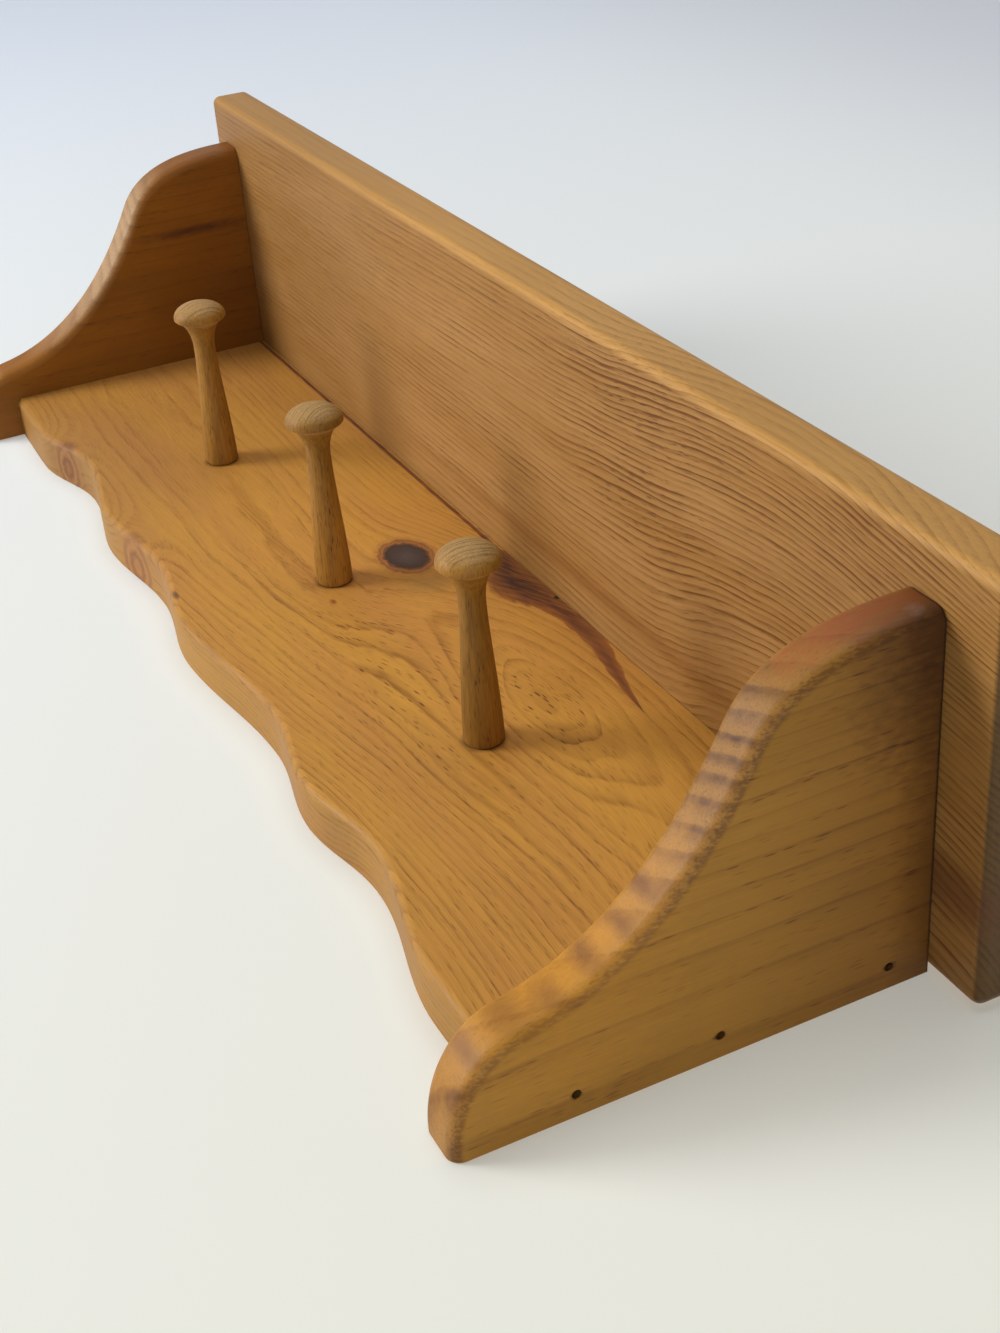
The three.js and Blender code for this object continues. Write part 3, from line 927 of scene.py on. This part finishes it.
def makeBack():
    low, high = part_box("back_board")
    length = high.x - low.x + 2 * spare
    steps = round(length / back["sawStep"])
    bm = bmesh.new()
    bmesh.ops.create_grid(bm, x_segments=steps, y_segments=1, size=0.5)
    bmesh.ops.scale(bm, vec=(length, 1, 1), verts=bm.verts)
    bmesh.ops.rotate(bm, matrix=Matrix.Rotation(pi / 2, 3, "X"), verts=bm.verts)
    for v in bm.verts:
        v.co.z = high.z + spare if v.co.z > 0 else waveHeight(v.co.x)
        v.co.y = high.y + spare
    drawn = bmesh.ops.extrude_face_region(bm, geom=bm.faces[:])["geom"]
    moved = [v for v in drawn if isinstance(v, bmesh.types.BMVert)]
    bmesh.ops.translate(bm, vec=(0, low.y - high.y - spare, 0), verts=moved)
    bmesh.ops.recalc_face_normals(bm, faces=bm.faces)
    arris = edgesWhere(bm, lambda p: p.y < low.y + hair and p.z < high.z)
    along = [e for e in arris if abs(e.verts[0].co.x - e.verts[1].co.x) > hair]
    bevel(bm, along, back["round"], back["roundSteps"])
    for place, outwards in (
        (high, upward), (high, wallward), (high, Vector((1, 0, 0))), (low, Vector((-1, 0, 0))),
    ):
        sawFlush(bm, place, outwards)
    holes, dirt = [], []
    for name in pegPlaces:
        pegLow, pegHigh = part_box("peg_" + name)
        foot = (pegLow + pegHigh) / 2
        floor = low.y + back["socketDepth"]
        holes.append(boredHole(foot.x, foot.z, back["socketRadius"], low.y - spare, floor))
        # dirt and finish gather round each peg's foot, and the ring is darkened further as painted
        # contact shade
        dirt.append({**back["footDirt"], "at": (foot.x / mm, low.y / mm, foot.z / mm)})
    for sign in sides.values():
        x = sign * back["keyholeSpacing"] / 2
        deep = back["keyholeDepth"]
        holes += [
            boredHole(x, -back["keyholeTravel"], back["entryRadius"], spare, -deep),
            rearSlot(x, back["slotRadius"], -spare, deep),
            rearSlot(x, back["grooveRadius"], back["keyholeLip"], deep),
        ]
    holes += nailHoles(nailsOf("nail_back", "brad"))
    own = {**wood, **back["wood"]}
    own["marks"] = own["marks"] + dirt
    material = makeWood("back_pine_varnished", own)
    piece = finishPiece(bm, "back_plank", material, holes)
    shadeSmooth(piece)
    standFor(piece, "back_board")


# End brackets of pine with upright grain, sawn to an S-curve from the shelf board down to the wall
# and rounded over on both sides. The curve crosses the grain, so the eye sees banded end grain
# along it, and a rough dark arris where the finish has crackled.
stripe = {"soft": 2, "ragged": 1.2, "colour": "#5f3520"}  # a dark year that comes out in the curve
bracket = {
    "wood": {
        "turn": (0, pi / 2, 0),
        "grainAxis": "Z",
        "rings": 9.1,
        "ringPower": 1.9,
        "yearly": 0.25,
        "palest": 0.75,
        "fade": ("Z", -400, -399, 1),
        "line": [(0, 0.05), (0.6, 0.1), (0.82, 0.45), (0.93, 1), (0.97, 0.4), (1, 0.05)],
        "endFrom": 0.3,
        "endTo": 0.8,
        "streaks": (30, 1, 0.5),
        "crackle": (1, 0.6),
        "lateDepth": 0.7,
        "endEarly": "#a0733a",
        "endLate": "#4d2c20",
    },
    "woods": {
        # painted shade: the left bracket's wood is darker and redder all over than the right one's,
        # for the shade its inner face lies in
        "left": {
            "pith": (0, -10, -310),
            "marks": [
                {"at": (-273, -84.5, 10), "size": (6, 2.5, 26), "depth": 0.7, "soft": 2,
                 "ragged": 1.2, "colour": "#3c1c10"},
            ],
            # painted shade: darker up towards the shelf board
            "shades": [("Z", -30, 38, 0.3, "#a88058")],
            "crackle": (-1, 0.3),
            "lateDepth": 0.4,
            "early": "#8a5408",
            "earlyToo": "#784807",
            "late": "#4a2806",
            "endEarly": "#ac8a63",
            "endLate": "#8d6b48",
        },
        "right": {
            "pith": (0, -10, 310),
            "marks": [
                # dark at the upper corner, partly the wood's own dark patch and partly painted
                # shade, and painted shade along the shelf board
                {"at": (292, -118, 34), "size": (12, 34, 20), "depth": 0.75, "soft": 2.2,
                 "ragged": 1.2, "colour": "#3b1f0e"},
                {"at": (292, -50, 40), "size": (9, 80, 9), "depth": 0.6, "soft": 2.4,
                 "ragged": 0.8, "colour": "#4a2c14"},
                # reddish shoulder, a worn spot on it and a chip low on the curve
                {"at": (280, -119, 16), "size": (9, 11, 27), "depth": 0.85, "soft": 2.2,
                 "ragged": 1.8, "colour": "#ad5a30"},
                {"at": (287, -125, 31), "size": (4, 5, 4), "depth": 0.35, "soft": 2, "ragged": 2,
                 "colour": "#a39a8c"},
                {"at": (289, -29, -97), "size": (4, 3.2, 3.2), "depth": 0.9, "soft": 1.1,
                 "ragged": 1, "colour": "#e8d9c0"},
                # dirt in the joint under the shelf board
                {"at": (285, -60, 38), "size": (30, 90, 0.9), "depth": 0.9, "soft": 1.6,
                 "ragged": 0.3, "colour": "#1e0f08"},
                # yellower lower curve with dark years across it
                {"at": (281, -50, -84), "size": (9, 42, 36), "depth": 0.55, "soft": 2.2,
                 "colour": "#d9932c"},
                {**stripe, "at": (281, -60.2, -50.6), "size": (9, 2.2, 12), "depth": 0.6},
                {**stripe, "at": (284, -52.6, -59.2), "size": (8, 1.8, 14), "depth": 0.55},
                {**stripe, "at": (281, -45.4, -70.0), "size": (9, 2, 14), "depth": 0.6},
                {**stripe, "at": (285, -39.3, -83.2), "size": (8, 1.6, 16), "depth": 0.45},
                {**stripe, "at": (281, -36.0, -96.0), "size": (9, 1.8, 14), "depth": 0.45},
                {**stripe, "at": (284, -29.4, -107.6), "size": (8, 2.2, 10), "depth": 0.5},
            ],
            # painted shade: darker up towards the shelf board, under its overhang
            "shades": [("Z", -40, 38, 0.55, "#8f6a48")],
            "bolder": [
                {"at": (281, -45, -84), "size": (7, 40, 40), "lines": 1.6, "dashes": 0.6},
            ],
            "early": "#9f7129",
            "earlyToo": "#a9792e",
            "late": "#6a4014",
        },
    },
    "turns": [
        {"out": 123.2 * mm, "down": 1 * mm, "lean": 0},
        {"out": 99.5 * mm, "down": 60.4 * mm, "lean": 62.5},
        {"out": 36.3 * mm, "down": 132.4 * mm, "lean": 10.6},
        {"out": 1 * mm, "down": 156.4 * mm, "lean": 90},
    ],
    # dark round and inside each brad's hole: rust stain and painted shade
    "rust": {
        "size": (8, 2.7, 3.8), "depth": 1, "soft": 1.15, "ragged": 0.8, "colour": "#150c07",
    },
    "round": 4.5 * mm,
    "roundSteps": 8,
    "curveSteps": 26,
}


def makeBracket(side):
    node = "end_bracket_" + side
    low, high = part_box(node)
    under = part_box("shelf_board")[0].z
    trim = bracket["turns"][0]["out"] + low.y  # sawn off this bracket all along its curve
    turns = []
    for turn in bracket["turns"]:
        lean = radians(turn["lean"])
        out = turn["out"] - trim * cos(lean)
        up = under - turn["down"] + trim * sin(lean)
        turns.append({"out": out, "up": up, "lean": turn["lean"]})
    outline = [Vector((0, low.y, high.z + spare))]
    for start, end in zip(turns, turns[1:]):
        outline += swing(start, end, bracket["curveSteps"])[:-1]
    outline += [
        Vector((0, -turns[-1]["out"], low.z)),
        Vector((0, spare, low.z)),
        Vector((0, spare, high.z + spare)),
    ]
    bm = bmesh.new()
    drawnOut(bm, [p + Vector((low.x, 0, 0)) for p in outline], Vector((high.x - low.x, 0, 0)))
    curved = [
        e for e in bm.edges
        if abs(e.verts[0].co.x - e.verts[1].co.x) < weld
        and min(v.co.y for v in e.verts) < spare - hair
        and min(v.co.z for v in e.verts) < high.z + spare - hair
    ]
    bevel(bm, curved, bracket["round"], bracket["roundSteps"])
    sawFlush(bm, high, upward)
    sawFlush(bm, high, wallward)
    holes = nailHoles(nailsOf("nail_" + side, "brad_" + side))
    own = {**wood, **bracket["wood"], **bracket["woods"][side]}
    rust = []
    for name in nailsOf("brad_" + side):  # the wood round each brad is stained by rust, and darkened in its hole as painted shade
        at = tuple(part / mm for part in nailSeat(name)[0])
        rust.append({**bracket["rust"], "at": at})
    own["marks"] = own["marks"] + rust
    material = makeWood("bracket_pine_varnished_" + side, own)
    piece = finishPiece(bm, "bracket_" + side, material, holes)
    shadeSmooth(piece)
    standFor(piece, node)


# Pegs of birch, turned with a slim neck and a domed cap, and varnished. Their grain runs along
# them, so the eye sees fine dark streaks on the shank and rings on the paler cap. Heights are out
# from the back board's face.
peg = {
    "wood": {
        "turn": (0, 0, -pi / 2),
        "grainAxis": "Y",
        "pith": (0, 25, 20),
        "rings": 60,
        "sways": [(60, 12, 0.6), (12, 2.5, 0.2)],
        "fade": ("X", -400, -399, 1),
        "line": [(0, 0.3), (0.5, 0.1), (0.85, 0.7), (1, 0.3)],
        "endLine": [(0, 0.1), (0.4, 0.25), (0.75, 1), (1, 0.15)],
        "endFrom": 0.5,
        "endTo": 0.95,
        "patches": (40, 6, 0.3),
        "streaks": (12, 0.9, 0.2),
        "dashes": (7, 0.6, 0.25, 0.7),
        # bolder everywhere
        "bolder": [{"at": (0, -60, -30), "size": (900, 900, 900), "lines": 0.2, "dashes": 0.6}],
        "pores": (1.4, 0.6, 0.35),
        "fibre": (14, 0.5, 0.2),
        "lateDepth": 0.8,
        "dashColour": "#3f240c",
        "early": "#a07029",
        "earlyToo": "#74501a",
        "late": "#54350f",
        "endEarly": "#b08a52",
        "endLate": "#6c4a22",
    },
    "baseRadius": 7.25 * mm,
    "neckRadius": 4.7 * mm,
    "neckBelow": 14.6 * mm,
    "neckRun": 6.6 * mm,
    "throatRadius": 6.8 * mm,
    "throatBelow": 4.7 * mm,
    "flareRadius": 8.4 * mm,
    "flareBelow": 2.7 * mm,
    "capRadius": 11.3 * mm,
    "capHeight": 69.6 * mm,
    "capRise": 6.2 * mm,
    "rimThickness": 1.4 * mm,
    "tenonRadius": 6.35 * mm,
    "tenonLength": 14.5 * mm,
    "ease": 0.8 * mm,
    "fullShare": 0.3,
    "slimShare": 0.25,
    "jointGap": 0.3 * mm,
    "curveSteps": 18,
    "sides": 72,
    "crease": 32,
}


def pegCurve(*knots):
    corners = [Vector((*knot, 0)) for knot in knots]
    return [(p.x, p.y) for p in interpolate_bezier(*corners, peg["curveSteps"])]


def pegOutline():
    foot = peg["jointGap"] + peg["ease"]
    neck = peg["capHeight"] - peg["neckBelow"]
    full = foot + (neck - foot) * peg["fullShare"]
    slim = neck + (foot - neck) * peg["slimShare"]
    flare = peg["capHeight"] - peg["flareBelow"]
    under = peg["capHeight"] - peg["rimThickness"]
    shank = pegCurve(
        (peg["baseRadius"], foot), (peg["baseRadius"], full),
        (peg["neckRadius"], slim), (peg["neckRadius"], neck),
    )
    throat = pegCurve(
        (peg["neckRadius"], neck), (peg["neckRadius"], neck + peg["neckRun"]),
        (peg["throatRadius"], peg["capHeight"] - peg["throatBelow"]), (peg["flareRadius"], flare),
    )
    dome = []
    for i in range(peg["curveSteps"] + 1):
        turn = pi / 2 * i / peg["curveSteps"]
        dome.append((peg["capRadius"] * cos(turn), peg["capHeight"] + peg["capRise"] * sin(turn)))
    return [
        (0, -peg["tenonLength"]),
        (peg["tenonRadius"] - peg["ease"], -peg["tenonLength"]),
        (peg["tenonRadius"], peg["ease"] - peg["tenonLength"]),
        (peg["tenonRadius"], peg["jointGap"]),
        (peg["baseRadius"] - peg["ease"] / 2, peg["jointGap"]),
        *shank,
        *throat[1:],
        (peg["capRadius"] - peg["rimThickness"] / 2, under),
        (peg["capRadius"], under + peg["rimThickness"] / 2),
        *dome,
    ]


def makePegs():
    material = makeWood("birch_turned_varnished", {**wood, **peg["wood"]})
    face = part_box("back_board")[0].y
    for place in pegPlaces:
        low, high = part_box("peg_" + place)
        base = Vector(((low.x + high.x) / 2, face, (low.z + high.z) / 2))
        bm = bmesh.new()
        turned(bm, pegOutline(), base, -wallward, peg["sides"])
        piece = finishPiece(bm, "turned_peg_" + place, material)
        shadeSmooth(piece, peg["crease"])
        standFor(piece, "peg_" + place)


# Table under the shelf's back, painted a matt off-white, so the eye sees soft shadows on a plain
# ground; its colour also holds painted light, warmer near and bluer far off, and a painted shadow
# beyond the shelf board. Seen and lit from behind it isn't there, so that the shelf's rear shows.
table = {
    "below": 0.5 * mm,
    "reach": 3.5,
    "rough": 0.7,
    "glow": 1.08,
    "glowShare": 0.3,
    # painted light: warmer near, bluer far off
    "near": "#eeeee3",
    "far": "#dfe7f3",
    "farRange": (0.4, -1.2),
    # painted shadow of the shelf board on the table beyond it
    "beyond": "#d0d4db",
    "beyondRange": (0.4, 0.9),
}


def makeTable():
    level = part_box("back_board")[1].y + table["below"]
    bm = bmesh.new()
    bmesh.ops.create_grid(bm, x_segments=1, y_segments=1, size=table["reach"])
    bmesh.ops.rotate(bm, matrix=Matrix.Rotation(pi / 2, 3, "X"), verts=bm.verts)
    bmesh.ops.translate(bm, vec=(0, level, 0), verts=bm.verts)
    material, shader = newMaterial("paint_matt_white")
    add = partial(addNode, material)
    place = add("TexCoord")
    places = add("SeparateXYZ", {0: place.outputs["Object"]})
    # painted light: the near and far tones
    start, end = table["farRange"]
    far = add("MapRange", {"Value": places.outputs["X"], "From Min": start, "From Max": end})
    colour = add("ValToRGB", {0: far}, stops=[(0, table["near"]), (1, table["far"])])
    # painted shadow beyond the shelf board
    start, end = table["beyondRange"]
    beyond = add("MapRange", {"Value": places.outputs["Z"], "From Min": start, "From Max": end},
                 interpolation_type="SMOOTHSTEP")
    colour = add("Mix", {"Factor": beyond, "A": colour, "B": table["beyond"]}, data_type="RGBA")
    connect(material, shader, {"Base Color": colour})
    shader.inputs["Roughness"].default_value = table["rough"]
    path = add("LightPath")
    seen = add("Math", {0: path.outputs["Is Camera Ray"], 1: path.outputs["Is Glossy Ray"]},
               operation="MAXIMUM")
    glow = add("Emission", {"Color": colour, "Strength": table["glow"]})
    glowing = add("Math", {0: seen, 1: table["glowShare"]}, operation="MULTIPLY")
    paint = add("MixShader", {0: glowing, 1: shader.outputs[0], 2: glow})
    face = add("NewGeometry")
    absent = add("Math", {0: face.outputs["Backfacing"], 1: path.outputs["Is Shadow Ray"]},
                 operation="MAXIMUM")
    mixed = add("MixShader", {0: absent, 1: paint, 2: add("BsdfTransparent")})
    output = next(n for n in material.node_tree.nodes if n.type == "OUTPUT_MATERIAL")
    connect(material, output, {"Surface": mixed})
    finishPiece(bm, "table", material)


# Lamps: a window low on the left, a broad ceiling, and less from the room, overhead and behind. A
# white surface that faces one renders at its level.
lamps = {
    "window": {"towards": (-0.45, -0.42, -0.79), "distance": 2.2, "size": 1.1, "level": 0.95},
    "ceiling": {"towards": (-0.12, -1, 0.05), "distance": 2.4, "size": 2.2, "level": 0.5},
    "room": {"towards": (0.93, -0.14, -0.3), "distance": 2.4, "size": 1.2, "level": 0.27},
    "overhead": {"towards": (0.1, -0.35, 0.93), "distance": 2.4, "size": 2.4, "level": 0.1},
    "behind": {"towards": (-0.15, 1, 0.4), "distance": 2.0, "size": 1.5, "level": 0.75},
}
world = {"colour": "#e6e9ee", "seen": 1, "light": 0.07}  # bright to the eye, weak as a light


def makeLamps():
    middle = (cadBox[0] + cadBox[1]) / 2
    for name, lamp in lamps.items():
        data = bpy.data.lights.new(name, "AREA")
        data.shape = "DISK"
        data.size = lamp["size"]
        data.energy = lamp["level"] * pi ** 2 * lamp["distance"] ** 2
        away = Vector(lamp["towards"]).normalized()
        made = bpy.data.objects.new(name, data)
        made.location = middle + away * lamp["distance"]
        made.rotation_euler = away.to_track_quat("Z", "Y").to_euler()
        bpy.context.scene.collection.objects.link(made)


def makeWorld():
    made = bpy.data.worlds.new("studio")
    bpy.context.scene.world = made
    made.use_nodes = True
    made.node_tree.nodes.clear()
    add = partial(addNode, made)
    path = add("LightPath")
    seen = add("Math", {0: path.outputs["Is Camera Ray"], 1: path.outputs["Is Glossy Ray"]},
               operation="MAXIMUM")
    strength = add("MapRange", {"Value": seen, "To Min": world["light"], "To Max": world["seen"]})
    sky = add("Background", {"Color": world["colour"], "Strength": strength.outputs[0]})
    add("OutputWorld", {"Surface": sky})


makeCamera()
makeTable()
makeLamps()
makeWorld()
print("camera, table and lamps placed")
makeShelf()
makeBack()
for side in sides:
    makeBracket(side)
print("boards sawn and rounded")
makePegs()
makeNails()
print("pegs and nails driven")

bpy.context.scene.view_settings.view_transform = "Standard"
